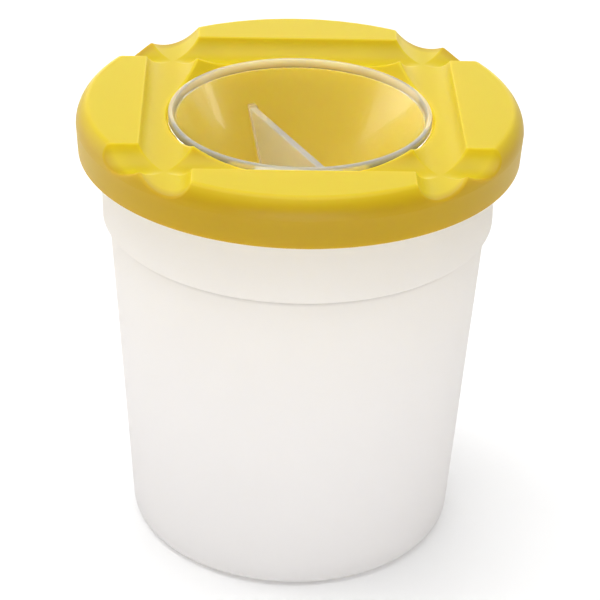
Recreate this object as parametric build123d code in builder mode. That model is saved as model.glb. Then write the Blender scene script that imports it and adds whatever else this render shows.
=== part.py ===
from build123d import *
import os
from math import cos, radians, tan

# All sizes are in millimetres. The origin is the centre of the standing ring, with +Z up.

# Cup, a tapered pot of even wall
cup_height = 91.3
band_radius = 40.5
band_height = 19.3
step_width = 1.4
step_height = 0.9
body_taper = 4.6
cup_wall = 1.4
base_thickness = 1.6
base_corner_radius = 2.8
base_inner_corner_radius = 2.0
standing_ring_width = 3.6
base_recess = 0.7
rim_flange_width = 2.4
rim_flange_height = 2.6
rim_rounding = 0.35
step_rounding = 0.5

# Lid, its outside
lid_rise = 5.2
lid_height = 10.2
shoulder_width = 2.3
shoulder_height = 4.2
shoulder_bulge = 0.55
shoulder_edge_radius = 1.6
skirt_clearance = 0.85
skirt_wall = 1.8
skirt_taper = 0.35
skirt_edge_radius = 0.35
lid_wall = 1.5

# Lid, its four brush rests
rest_width = 10.6
rest_depth = 3.45
rest_overlap = 0.5
rest_edge_radius = 0.5

# Lid, its funnel and the seat for the stopper
countersink_angle = 40.0
countersink_drop = 0.35
funnel_half_angle = 28.8
funnel_depth = 25.15
funnel_wall = 1.4
seat_drop = 0.9
seat_width = 0.85

# Lid, what holds it on the cup
sealing_ring_wall = 1.3
sealing_ring_recess = 0.8
sealing_clearance = 0.1
snap_clearance = 0.15
snap_bead_height = 1.5
snap_bead_recess = 0.6
stop_rib_width = 1.2
stop_ribs_per_segment = 3
stop_rib_pitch_angle = 15.0

# Stopper, a hollow cone with a finger plate across it
stopper_rim_share = 0.664
stopper_rim_height = 2.05
stopper_rim_rounding = 0.35
stopper_wall = 0.95
stopper_clearance = 0.3
stopper_reach = 3.0
stopper_tip_radius = 1.5
stopper_inner_tip_radius = 1.0
grip_thickness = 1.6
grip_drop = 8.4
grip_angle = 115.9
grip_edge_radius = 0.3

# One overrun for every cut, and one share of a wall for the rounding of its free edge
overrun = 5.0
edge_rounding_share = 0.33

# The top has one raised segment to each side of the square that the brush rests draw
segments = 4

# Cup levels and radii, worked inwards and outwards from the band round its mouth
body_top_radius = band_radius - step_width
base_radius = body_top_radius - body_taper
band_foot_height = cup_height - band_height
body_top_height = band_foot_height - step_height
flange_foot_height = cup_height - rim_flange_height
rim_flange_radius = band_radius + rim_flange_width
band_inner_radius = band_radius - cup_wall
body_inner_radius = body_top_radius - cup_wall
floor_height = base_recess + base_thickness
floor_radius = base_radius - cup_wall
recess_radius = base_radius - base_corner_radius - standing_ring_width

# The lid's outside: its skirt clears the cup's rim flange, and its shoulder leads in to the top
skirt_inner_radius = rim_flange_radius + skirt_clearance
crease_radius = skirt_inner_radius + skirt_wall
skirt_foot_radius = crease_radius - skirt_taper
lid_top_radius = crease_radius - shoulder_width
lid_top_height = cup_height + lid_rise
skirt_foot_height = lid_top_height - lid_height
crease_height = lid_top_height - shoulder_height
rest_floor_height = lid_top_height - rest_depth
rest_radius = ((rest_width / 2) ** 2 + rest_depth**2) / (2 * rest_depth)
rest_axis_height = rest_floor_height + rest_radius

# The funnel and its seat are sized by the stopper's rim, and the brush rests run over its edge
stopper_rim_radius = band_radius * stopper_rim_share
funnel_slope = tan(radians(funnel_half_angle))
funnel_wall_across = funnel_wall / cos(radians(funnel_half_angle))
seat_height = rest_floor_height - seat_drop
seat_bore_radius = stopper_rim_radius + stopper_clearance
seat_inner_radius = seat_bore_radius - seat_width
rest_offset = seat_bore_radius - rest_overlap
funnel_foot_height = seat_height - funnel_depth
funnel_foot_radius = seat_inner_radius - funnel_depth * funnel_slope
funnel_lip_radius = funnel_wall * edge_rounding_share
countersink_slope = tan(radians(countersink_angle))
countersink_foot_height = rest_floor_height - countersink_drop
countersink_top_radius = seat_bore_radius + (lid_top_height - countersink_foot_height) * countersink_slope

# Levels and radii of the lid's inside, one wall below its outside
roof_height = lid_top_height - lid_wall
countersink_wall_across = lid_wall / cos(radians(countersink_angle))
roof_inner_radius = (
    seat_bore_radius + countersink_wall_across + (roof_height - countersink_foot_height) * countersink_slope
)
bore_wall_radius = seat_bore_radius + lid_wall
bore_wall_top = roof_height - (roof_inner_radius - bore_wall_radius) / countersink_slope
bore_wall_foot = seat_height - lid_wall
funnel_outer_foot_radius = funnel_foot_radius + funnel_wall_across
funnel_outer_top_radius = funnel_outer_foot_radius + (bore_wall_foot - funnel_foot_height) * funnel_slope
sealing_ring_outer_radius = band_inner_radius - sealing_clearance
sealing_ring_inner_radius = sealing_ring_outer_radius - sealing_ring_wall
sealing_ring_foot = skirt_foot_height + sealing_ring_recess
sealing_ring_edge_radius = sealing_ring_wall * edge_rounding_share
snap_bead_radius = rim_flange_radius + snap_clearance
snap_bead_foot = skirt_foot_height + snap_bead_recess
snap_bead_top = snap_bead_foot + snap_bead_height
snap_bead_slope = skirt_inner_radius - snap_bead_radius

# Troughs and stop ribs end in the middle of the lid's walls, so that they join them all round
inner_top = roof_height + lid_wall / 2
inner_foot = bore_wall_foot + lid_wall / 2
inner_bore_radius = seat_bore_radius + lid_wall / 2
inner_skirt_radius = skirt_inner_radius + skirt_wall / 2
inner_countersink_radius = seat_bore_radius + countersink_wall_across / 2
inner_roof_radius = inner_countersink_radius + (inner_top - countersink_foot_height) * countersink_slope
rib_length = inner_skirt_radius - sealing_ring_inner_radius
rib_middle_radius = sealing_ring_inner_radius + rib_length / 2

# Stopper levels and radii, one clearance inside the funnel
stopper_top = seat_height + stopper_rim_height
stopper_seat_radius = seat_inner_radius - stopper_clearance / cos(radians(funnel_half_angle))
stopper_foot_height = funnel_foot_height - stopper_reach
stopper_foot_radius = stopper_seat_radius - (seat_height - stopper_foot_height) * funnel_slope
stopper_wall_across = stopper_wall / cos(radians(funnel_half_angle))
stopper_inner_radius = stopper_seat_radius - stopper_wall_across + stopper_rim_height * funnel_slope
stopper_floor_height = stopper_foot_height + stopper_wall
stopper_floor_radius = stopper_foot_radius + stopper_wall * funnel_slope - stopper_wall_across
grip_top = stopper_top - grip_drop
grip_foot = stopper_floor_height - stopper_wall / 2
grip_foot_reach = stopper_floor_radius + stopper_wall / 2
grip_top_reach = grip_foot_reach + (grip_top - stopper_floor_height) * funnel_slope

# The cup: one revolved wall, from the recess under the base round to the inside of the floor
with BuildPart() as cup:
    with BuildSketch(Plane.XZ):
        with BuildLine():
            cup_line = FilletPolyline(
                (0, base_recess),
                (recess_radius, base_recess),
                (recess_radius + base_recess, 0),
                (base_radius, 0),
                (body_top_radius, body_top_height),
                (band_radius, band_foot_height),
                (band_radius, flange_foot_height),
                (rim_flange_radius, flange_foot_height),
                (rim_flange_radius, cup_height),
                (band_inner_radius, cup_height),
                (band_inner_radius, band_foot_height),
                (body_inner_radius, body_top_height),
                (floor_radius, floor_height),
                (0, floor_height),
                radius=(
                    0,
                    0,
                    base_corner_radius,
                    step_rounding,
                    step_rounding,
                    rim_rounding,
                    rim_rounding,
                    rim_rounding,
                    rim_rounding,
                    step_rounding,
                    step_rounding,
                    base_inner_corner_radius,
                ),
            )
            Line(cup_line @ 1, cup_line @ 0)
        make_face()
    revolve(axis=Axis.Z)

# The troughs that carry the brush rests, and the stop ribs that sit on the cup's rim
with BuildPart() as lid_inside:
    for side in (-rest_offset, rest_offset):
        with BuildSketch(Plane.XZ, Plane.YZ):
            with Locations((side, rest_axis_height)):
                Circle(rest_radius + lid_wall)
    extrude(amount=crease_radius, both=True)
    with BuildSketch(Plane.XY.offset(cup_height)):
        for segment in range(segments):
            for rib in range(stop_ribs_per_segment):
                rib_step = rib - (stop_ribs_per_segment - 1) / 2
                rib_angle = segment * 360 / segments + rib_step * stop_rib_pitch_angle
                with PolarLocations(rib_middle_radius, 1, start_angle=rib_angle):
                    Rectangle(rib_length, stop_rib_width)
    extrude(amount=inner_top - cup_height)
    with BuildSketch(Plane.XZ):
        with BuildLine():
            bore_side = Polyline(
                (inner_bore_radius, inner_foot),
                (inner_bore_radius, countersink_foot_height),
                (inner_countersink_radius, countersink_foot_height),
                (inner_roof_radius, inner_top),
                (lid_top_radius - skirt_wall / 2, inner_top),
            )
            shoulder_side = SagittaArc(bore_side @ 1, (inner_skirt_radius, crease_height), shoulder_bulge)
            Polyline(shoulder_side @ 1, (inner_skirt_radius, inner_foot), bore_side @ 0)
        make_face()
    revolve(axis=Axis.Z, mode=Mode.INTERSECT)

# The lid: one moulding with its skirt, top, sealing ring and funnel
with BuildPart() as lid:
    with BuildSketch(Plane.XZ):
        with BuildLine():
            skirt_line = FilletPolyline(
                (snap_bead_radius, snap_bead_foot + snap_bead_slope),
                (skirt_inner_radius, snap_bead_foot),
                (skirt_inner_radius, skirt_foot_height),
                (skirt_foot_radius, skirt_foot_height),
                (crease_radius, crease_height),
                radius=(0, skirt_edge_radius, skirt_edge_radius),
            )
            shoulder_line = SagittaArc(skirt_line @ 1, (lid_top_radius, lid_top_height), -shoulder_bulge)
            funnel_line = FilletPolyline(
                shoulder_line @ 1,
                (countersink_top_radius, lid_top_height),
                (seat_bore_radius, countersink_foot_height),
                (seat_bore_radius, seat_height),
                (seat_inner_radius, seat_height),
                (funnel_foot_radius, funnel_foot_height),
                (funnel_outer_foot_radius, funnel_foot_height),
                (funnel_outer_top_radius, bore_wall_foot),
                (bore_wall_radius, bore_wall_foot),
                (bore_wall_radius, bore_wall_top),
                (roof_inner_radius, roof_height),
                (sealing_ring_inner_radius, roof_height),
                (sealing_ring_inner_radius, sealing_ring_foot),
                (sealing_ring_outer_radius, sealing_ring_foot),
                (sealing_ring_outer_radius, roof_height),
                (lid_top_radius - skirt_wall, roof_height),
                radius=(
                    0,
                    0,
                    0,
                    0,
                    funnel_lip_radius,
                    funnel_lip_radius,
                    0,
                    0,
                    0,
                    0,
                    0,
                    sealing_ring_edge_radius,
                    sealing_ring_edge_radius,
                    0,
                ),
            )
            inner_shoulder_line = SagittaArc(
                funnel_line @ 1, (skirt_inner_radius, crease_height), shoulder_bulge
            )
            Polyline(
                inner_shoulder_line @ 1,
                (skirt_inner_radius, snap_bead_top),
                (snap_bead_radius, snap_bead_top - snap_bead_slope),
                skirt_line @ 0,
            )
        make_face()
    revolve(axis=Axis.Z)
    top_edges = lid.faces().filter_by(Plane.XY).sort_by(Axis.Z)[-1].edges()
    fillet(top_edges.sort_by(SortBy.RADIUS)[-1], shoulder_edge_radius)
    add(lid_inside.part)

    # The brush rests are round-bottomed channels that run out through the shoulder
    for side in (-rest_offset, rest_offset):
        with BuildSketch(Plane.XZ, Plane.YZ):
            with Locations((side, rest_axis_height)):
                Circle(rest_radius)
    extrude(amount=crease_radius + overrun, both=True, mode=Mode.SUBTRACT)

    # Every edge of the rests is softened, where they cross and where they leave the top
    rest_faces = lid.faces(Select.LAST).filter_by(GeomType.CYLINDER)
    fillet(rest_faces.edges(), rest_edge_radius)

# The stopper: a hollow cone that hangs by its rim in the funnel's seat
with BuildPart() as stopper:
    with BuildSketch(Plane.XZ):
        with BuildLine():
            stopper_line = FilletPolyline(
                (0, stopper_foot_height),
                (stopper_foot_radius, stopper_foot_height),
                (stopper_seat_radius, seat_height),
                (stopper_rim_radius, seat_height),
                (stopper_rim_radius, stopper_top),
                (stopper_inner_radius, stopper_top),
                (stopper_floor_radius, stopper_floor_height),
                (0, stopper_floor_height),
                radius=(
                    stopper_tip_radius,
                    0,
                    0,
                    stopper_rim_rounding,
                    stopper_rim_rounding,
                    stopper_inner_tip_radius,
                ),
            )
            Line(stopper_line @ 1, stopper_line @ 0)
        make_face()
    revolve(axis=Axis.Z)
    with BuildSketch(Plane.XZ.rotated((0, 0, grip_angle))):
        Polygon(
            (-grip_foot_reach, grip_foot),
            (grip_foot_reach, grip_foot),
            (grip_top_reach, grip_top),
            (-grip_top_reach, grip_top),
            align=None,
        )
    extrude(amount=grip_thickness / 2, both=True)
    grip_top_edges = stopper.edges().filter_by(GeomType.LINE).filter_by_position(Axis.Z, grip_top, grip_top)
    fillet(grip_top_edges, grip_edge_radius)

cup.part.label = "cup"
lid.part.label = "lid"
stopper.part.label = "stopper"

os.makedirs("parts", exist_ok=True)
export_step(cup.part, "parts/cup.step")
export_step(lid.part, "parts/lid.step")
export_step(stopper.part, "parts/stopper.step")
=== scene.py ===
from math import cos, pi, radians, sin

import bpy
from mathutils import Matrix, Vector

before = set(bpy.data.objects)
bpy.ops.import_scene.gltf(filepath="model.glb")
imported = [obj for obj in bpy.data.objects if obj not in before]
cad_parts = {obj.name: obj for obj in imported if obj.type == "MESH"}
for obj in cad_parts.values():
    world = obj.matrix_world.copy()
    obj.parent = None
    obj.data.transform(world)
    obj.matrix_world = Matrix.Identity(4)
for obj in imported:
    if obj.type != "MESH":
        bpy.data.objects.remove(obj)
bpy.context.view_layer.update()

# The cup is one thin injection moulding in natural polypropylene, which is milky
# because its crystals scatter light. Painted shade makes its colour greyer towards
# its foot and along a thin line at the step under its band. It keeps the shape from
# the CAD model.
MM = 0.001


def linear(hex_colour):
    """Turns an sRGB hex value into the linear colour that a shader takes."""
    values = []
    for start in (0, 2, 4):
        share = int(hex_colour[start : start + 2], 16) / 255
        values.append(share / 12.92 if share <= 0.04045 else ((share + 0.055) / 1.055) ** 2.4)
    return (*values, 1.0)


milky_top_colour = linear("FEFDFD")
milky_foot_painted_shade_colour = linear("F7F6F6")
# The colour of a painted shade line along the step under the band.
milky_step_painted_shade_colour = linear("E4E3E3")
milky_step_height = 71.2 * MM
milky_step_width = 0.8 * MM
milky_painted_shade_height = 75 * MM
milky_grain = 0.25 * MM
milky_grain_depth = 0.02 * MM
milky_grain_strength = 0.06
milky_swirl = 9 * MM
milky_least_roughness = 0.45
milky_most_roughness = 0.55
milky_light_through = 0.62
polypropylene_ior = 1.49


def new_material(name):
    material = bpy.data.materials.new(name)
    material.use_nodes = True
    material.node_tree.nodes.clear()
    return material


def add_node(tree, kind, settings=None, links=None):
    """Adds a node. Its settings and links go by the name or number of a socket, and
    a setting with no such socket goes by the name of a property."""
    node = tree.nodes.new(kind)
    for name, value in (settings or {}).items():
        if isinstance(name, int) or name in node.inputs:
            node.inputs[name].default_value = value
        else:
            setattr(node, name, value)
    for name, source in (links or {}).items():
        tree.links.new(source, node.inputs[name])
    return node


def add_grain(tree, place, size, depth, strength):
    """Adds the grain that a mould's wall leaves, and returns the normal that it tilts.
    The real grain is finer, and is drawn as coarse as it needs to show."""
    grain = add_node(
        tree,
        "ShaderNodeTexNoise",
        {"Scale": 1 / size, "Detail": 2.0},
        {"Vector": place.outputs["Object"]},
    )
    dimple = add_node(
        tree,
        "ShaderNodeBump",
        {"Strength": strength, "Distance": depth},
        {"Height": grain.outputs["Fac"]},
    )
    return dimple.outputs["Normal"]


def dress(node_name, material):
    """Gives all faces of one CAD node the same material."""
    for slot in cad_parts[node_name].material_slots:
        slot.material = material


# Natural polypropylene lets light through and spreads it, so the wall glows softly
# and hides what is behind it. Its gloss is dull, and varies a little with the swirl
# in which the melt filled the mould.
milky_polypropylene = new_material("moulded natural polypropylene")
tree = milky_polypropylene.node_tree
place = add_node(tree, "ShaderNodeTexCoord")
milky_normal = add_grain(tree, place, milky_grain, milky_grain_depth, milky_grain_strength)
swirl = add_node(
    tree,
    "ShaderNodeTexNoise",
    {"Scale": 1 / milky_swirl, "Detail": 3.0, "Roughness": 0.6},
    {"Vector": place.outputs["Object"]},
)
dull_gloss = add_node(
    tree,
    "ShaderNodeMapRange",
    {"To Min": milky_least_roughness, "To Max": milky_most_roughness},
    {"Value": swirl.outputs["Fac"]},
)
place_parts = add_node(tree, "ShaderNodeSeparateXYZ", links={"Vector": place.outputs["Object"]})
# Painted shade: the cup's colour darkens from its top down to its foot.
painted_shade_fade = add_node(
    tree,
    "ShaderNodeMapRange",
    {"From Max": milky_painted_shade_height},
    {"Value": place_parts.outputs["Z"]},
)
milky_colour_and_painted_shade = add_node(tree, "ShaderNodeValToRGB", links={"Fac": painted_shade_fade.outputs["Result"]})
milky_colour_and_painted_shade.color_ramp.elements[0].color = milky_foot_painted_shade_colour
milky_colour_and_painted_shade.color_ramp.elements[1].color = milky_top_colour
# Painted shade: a thin grey line along the step under the band.
for height, colour in (
    (milky_step_height - milky_step_width, milky_top_colour),
    (milky_step_height, milky_step_painted_shade_colour),
    (milky_step_height + milky_step_width, milky_top_colour),
):
    milky_colour_and_painted_shade.color_ramp.elements.new(height / milky_painted_shade_height).color = colour
shell = add_node(
    tree,
    "ShaderNodeBsdfPrincipled",
    {"IOR": polypropylene_ior},
    {
        "Base Color": milky_colour_and_painted_shade.outputs["Color"],
        "Roughness": dull_gloss.outputs["Result"],
        "Normal": milky_normal,
    },
)
glow = add_node(
    tree,
    "ShaderNodeBsdfTranslucent",
    links={"Color": milky_colour_and_painted_shade.outputs["Color"], "Normal": milky_normal},
)
milky = add_node(
    tree,
    "ShaderNodeMixShader",
    {"Fac": milky_light_through},
    {1: shell.outputs["BSDF"], 2: glow.outputs["BSDF"]},
)
add_node(tree, "ShaderNodeOutputMaterial", links={"Surface": milky.outputs["Shader"]})

dress("cup", milky_polypropylene)

# The lid is one moulding in yellow polypropylene, pressed on over the cup's rim
# flange. Its colour holds painted light and shade: the funnel is painted lighter,
# as if lit through from the cup, and the shoulder and skirt are painted darker.
# A painted glow for the funnel, the lid's own colour for its top, and painted shade for the
# skirt.
funnel_painted_glow_colour = linear("DCC200")
top_colour = linear("D2BA00")
skirt_painted_shade_colour = linear("B59400")
funnel_mouth_radius = 27.2 * MM
mouth_fade = 1.5 * MM
shoulder_radius = 43.0 * MM
skirt_radius = 45.3 * MM
lid_grain = 0.3 * MM
lid_grain_depth = 0.03 * MM
lid_grain_strength = 0.15
across_axis = (1.0, 1.0, 0.0)
soak_depth = 2.5 * MM
soak_by_colour = (1.0, 0.75, 0.15)

# Yellow polypropylene from a finely blasted mould has a satin gloss. The light that
# soaks in comes out warmer and spreads, so its edges and hollows look soft.
yellow_polypropylene = new_material("moulded yellow polypropylene")
tree = yellow_polypropylene.node_tree
place = add_node(tree, "ShaderNodeTexCoord")
lid_normal = add_grain(tree, place, lid_grain, lid_grain_depth, lid_grain_strength)
flat_place = add_node(
    tree,
    "ShaderNodeVectorMath",
    {"operation": "MULTIPLY", 1: across_axis},
    {0: place.outputs["Object"]},
)
reach = add_node(
    tree,
    "ShaderNodeVectorMath",
    {"operation": "LENGTH"},
    {0: flat_place.outputs["Vector"]},
)
past_mouth = add_node(
    tree,
    "ShaderNodeMapRange",
    {"From Min": funnel_mouth_radius, "From Max": skirt_radius},
    {"Value": reach.outputs["Value"]},
)
# Painted light and shade by distance from the axis: lighter in the funnel, darker over the
# shoulder and skirt.
lid_colour_with_painted_light_and_shade = add_node(tree, "ShaderNodeValToRGB", links={"Fac": past_mouth.outputs["Result"]})
lid_colour_with_painted_light_and_shade.color_ramp.elements[0].color = funnel_painted_glow_colour
lid_colour_with_painted_light_and_shade.color_ramp.elements[1].color = skirt_painted_shade_colour
for radius in (funnel_mouth_radius + mouth_fade, shoulder_radius):
    stop = (radius - funnel_mouth_radius) / (skirt_radius - funnel_mouth_radius)
    lid_colour_with_painted_light_and_shade.color_ramp.elements.new(stop).color = top_colour
satin = add_node(
    tree,
    "ShaderNodeBsdfPrincipled",
    {
        "Roughness": 0.45,
        "IOR": polypropylene_ior,
        "Specular IOR Level": 0.3,
        "Subsurface Weight": 0.8,
        "Subsurface Radius": soak_by_colour,
        "Subsurface Scale": soak_depth,
    },
    {"Base Color": lid_colour_with_painted_light_and_shade.outputs["Color"], "Normal": lid_normal},
)
add_node(tree, "ShaderNodeOutputMaterial", links={"Surface": satin.outputs["BSDF"]})

dress("lid", yellow_polypropylene)

# The stopper is a hollow cone moulded in clarified polypropylene. Its mould is
# polished, so it is glossy, and its wall shows the yellow funnel behind it. The
# thick rim and the finger plate scatter more light than the thin wall.
clear_colour = linear("FDFCF8")
cloudy_colour = linear("FBF8F2")
passed_light_colour = linear("FBFBFA")
thin_wall_ior = 1.2
stopper_top = 94.2 * MM
rim_haze_depth = 2.0 * MM
haze_fade = 0.6 * MM
grip_normal_angle = radians(25.9)
grip_normal = (cos(grip_normal_angle), sin(grip_normal_angle), 0.0)
grip_half_thickness = 0.8 * MM
grip_top = 85.8 * MM
wall_haze = 0.02
rim_haze = 0.36
grip_haze = 0.3
cloud_depth = 3.0 * MM

# Clarified polypropylene is nearly as clear as glass where it is thin, and cloudy
# where it is thick. Its bending of light is matched to the thin wall, which hardly
# shifts what is behind it, and a soft coat gives it the broad bright patch of a lamp.
clear_polypropylene = new_material("moulded clarified polypropylene")
tree = clear_polypropylene.node_tree
place = add_node(tree, "ShaderNodeTexCoord")
place_parts = add_node(tree, "ShaderNodeSeparateXYZ", links={"Vector": place.outputs["Object"]})
in_rim = add_node(
    tree,
    "ShaderNodeMapRange",
    {
        "From Min": stopper_top - rim_haze_depth,
        "From Max": stopper_top,
        "To Min": wall_haze,
        "To Max": rim_haze,
    },
    {"Value": place_parts.outputs["Z"]},
)
grip_side = add_node(
    tree,
    "ShaderNodeVectorMath",
    {"operation": "DOT_PRODUCT", 1: grip_normal},
    {0: place.outputs["Object"]},
)
grip_distance = add_node(
    tree,
    "ShaderNodeMath",
    {"operation": "ABSOLUTE"},
    {0: grip_side.outputs["Value"]},
)
near_grip = add_node(
    tree,
    "ShaderNodeMapRange",
    {"From Min": grip_half_thickness + haze_fade / 2, "From Max": grip_half_thickness},
    {"Value": grip_distance.outputs["Value"]},
)
under_grip_top = add_node(
    tree,
    "ShaderNodeMapRange",
    {"From Min": grip_top + haze_fade, "From Max": grip_top, "To Max": grip_haze},
    {"Value": place_parts.outputs["Z"]},
)
in_grip = add_node(
    tree,
    "ShaderNodeMath",
    {"operation": "MULTIPLY"},
    {0: near_grip.outputs["Result"], 1: under_grip_top.outputs["Result"]},
)
in_thick = add_node(
    tree,
    "ShaderNodeMath",
    {"operation": "MAXIMUM"},
    {0: in_rim.outputs["Result"], 1: in_grip.outputs["Value"]},
)
clear = add_node(
    tree,
    "ShaderNodeBsdfPrincipled",
    {
        "Base Color": clear_colour,
        "Roughness": 0.05,
        "IOR": thin_wall_ior,
        "Transmission Weight": 1.0,
        "Coat Weight": 0.6,
        "Coat Roughness": 0.3,
    },
)
cloudy = add_node(
    tree,
    "ShaderNodeBsdfPrincipled",
    {
        "Base Color": cloudy_colour,
        "Roughness": 0.2,
        "IOR": polypropylene_ior,
        "Subsurface Weight": 1.0,
        "Subsurface Radius": (1.0, 1.0, 1.0),
        "Subsurface Scale": cloud_depth,
    },
)
hazy = add_node(
    tree,
    "ShaderNodeMixShader",
    links={0: in_thick.outputs["Value"], 1: clear.outputs["BSDF"], 2: cloudy.outputs["BSDF"]},
)
# Lamps shine through it, so its shadow is as pale as that of a clear thing.
light_path = add_node(tree, "ShaderNodeLightPath")
open_way = add_node(tree, "ShaderNodeBsdfTransparent", {"Color": passed_light_colour})
let_through = add_node(
    tree,
    "ShaderNodeMixShader",
    links={
        0: light_path.outputs["Is Shadow Ray"],
        1: hazy.outputs["Shader"],
        2: open_way.outputs["BSDF"],
    },
)
add_node(tree, "ShaderNodeOutputMaterial", links={"Surface": let_through.outputs["Shader"]})

dress("stopper", clear_polypropylene)

# The floor is one sheet of white studio paper, larger than any view of the pot. It
# is matt, so it mirrors nothing, and shows only the pot's soft shadow.
floor_side = 3.0
paper_colour = linear("FDFDFD")
paper_roughness = 0.9

bpy.ops.object.select_all(action="DESELECT")
bpy.ops.mesh.primitive_plane_add(size=floor_side)
floor = bpy.context.object
floor.name = "floor"
studio_paper = new_material("white studio paper")
tree = studio_paper.node_tree
paper = add_node(
    tree,
    "ShaderNodeBsdfPrincipled",
    {"Base Color": paper_colour, "Roughness": paper_roughness},
)
add_node(tree, "ShaderNodeOutputMaterial", links={"Surface": paper.outputs["BSDF"]})
floor.data.materials.append(studio_paper)

# Light comes mostly from a large soft box overhead. Low ones to the left, behind
# and in front light the cup through its walls, and a narrow one on the right
# shows as a bright patch in the stopper.
pot_middle = Vector((0.0, 0.0, 0.05))


def add_softbox(name, position, width, height, power):
    """Adds a lamp with a flat, oblong face that is turned to the pot, in metres and watts."""
    light = bpy.data.lights.new(name, "AREA")
    light.shape = "RECTANGLE"
    light.size = width
    light.size_y = height
    light.energy = power
    lamp = bpy.data.objects.new(name, light)
    bpy.context.scene.collection.objects.link(lamp)
    lamp.location = position
    lamp.rotation_euler = (Vector(position) - pot_middle).to_track_quat("Z", "Y").to_euler()


add_softbox("top softbox", position=(-0.1, -0.05, 1.3), width=1.2, height=1.2, power=13.5)
add_softbox("left softbox", position=(-0.8, 0.25, 0.3), width=0.7, height=0.7, power=2.6)
add_softbox("back softbox", position=(0.0, 0.9, 0.2), width=0.9, height=0.35, power=1.9)
add_softbox("front softbox", position=(0.0, -1.0, 0.12), width=0.8, height=0.2, power=4.1)
add_softbox("right softbox", position=(0.82, 0.1, 0.26), width=0.12, height=0.3, power=0.5)

# The studio round the pot is white. It is dim on the camera's side and brighter
# behind the pot, so the front of the lid's skirt stays deeper than its top.
front_brightness = 0.2
back_brightness = 0.75
front_edge = -0.9
back_edge = 1.1

surrounding = bpy.data.worlds.new("studio surrounding")
bpy.context.scene.world = surrounding
surrounding.use_nodes = True
surrounding.node_tree.nodes.clear()
tree = surrounding.node_tree
direction = add_node(tree, "ShaderNodeTexCoord")
direction_parts = add_node(
    tree,
    "ShaderNodeSeparateXYZ",
    links={"Vector": direction.outputs["Generated"]},
)
towards_back = add_node(
    tree,
    "ShaderNodeMapRange",
    {
        "interpolation_type": "SMOOTHSTEP",
        "From Min": front_edge,
        "From Max": back_edge,
        "To Min": front_brightness,
        "To Max": back_brightness,
    },
    {"Value": direction_parts.outputs["Y"]},
)
studio_wall = add_node(
    tree,
    "ShaderNodeBackground",
    {"Color": linear("FFFFFF")},
    {"Strength": towards_back.outputs["Result"]},
)
add_node(tree, "ShaderNodeOutputWorld", links={"Surface": studio_wall.outputs["Background"]})

# The camera stands where the photograph was taken from: a long lens, half a metre
# away and looking down by about thirty degrees.
camera_target = Vector((1.045, -0.035, 49.892)) * MM
camera_distance = 479.53 * MM
camera_azimuth = radians(-1.916)
camera_elevation = radians(29.514)
camera_roll = radians(1.649)

lens_data = bpy.data.cameras.new("camera")
lens_data.lens = 135.0
lens_data.sensor_width = 36.0
camera = bpy.data.objects.new("camera", lens_data)
bpy.context.scene.collection.objects.link(camera)
turned = (
    Matrix.Rotation(camera_azimuth, 4, "Z")
    @ Matrix.Rotation(pi / 2 - camera_elevation, 4, "X")
    @ Matrix.Rotation(camera_roll, 4, "Z")
)
stand_back = Matrix.Translation((0, 0, camera_distance))
camera.matrix_world = Matrix.Translation(camera_target) @ turned @ stand_back
bpy.context.scene.camera = camera
bpy.context.scene.view_settings.view_transform = "Standard"
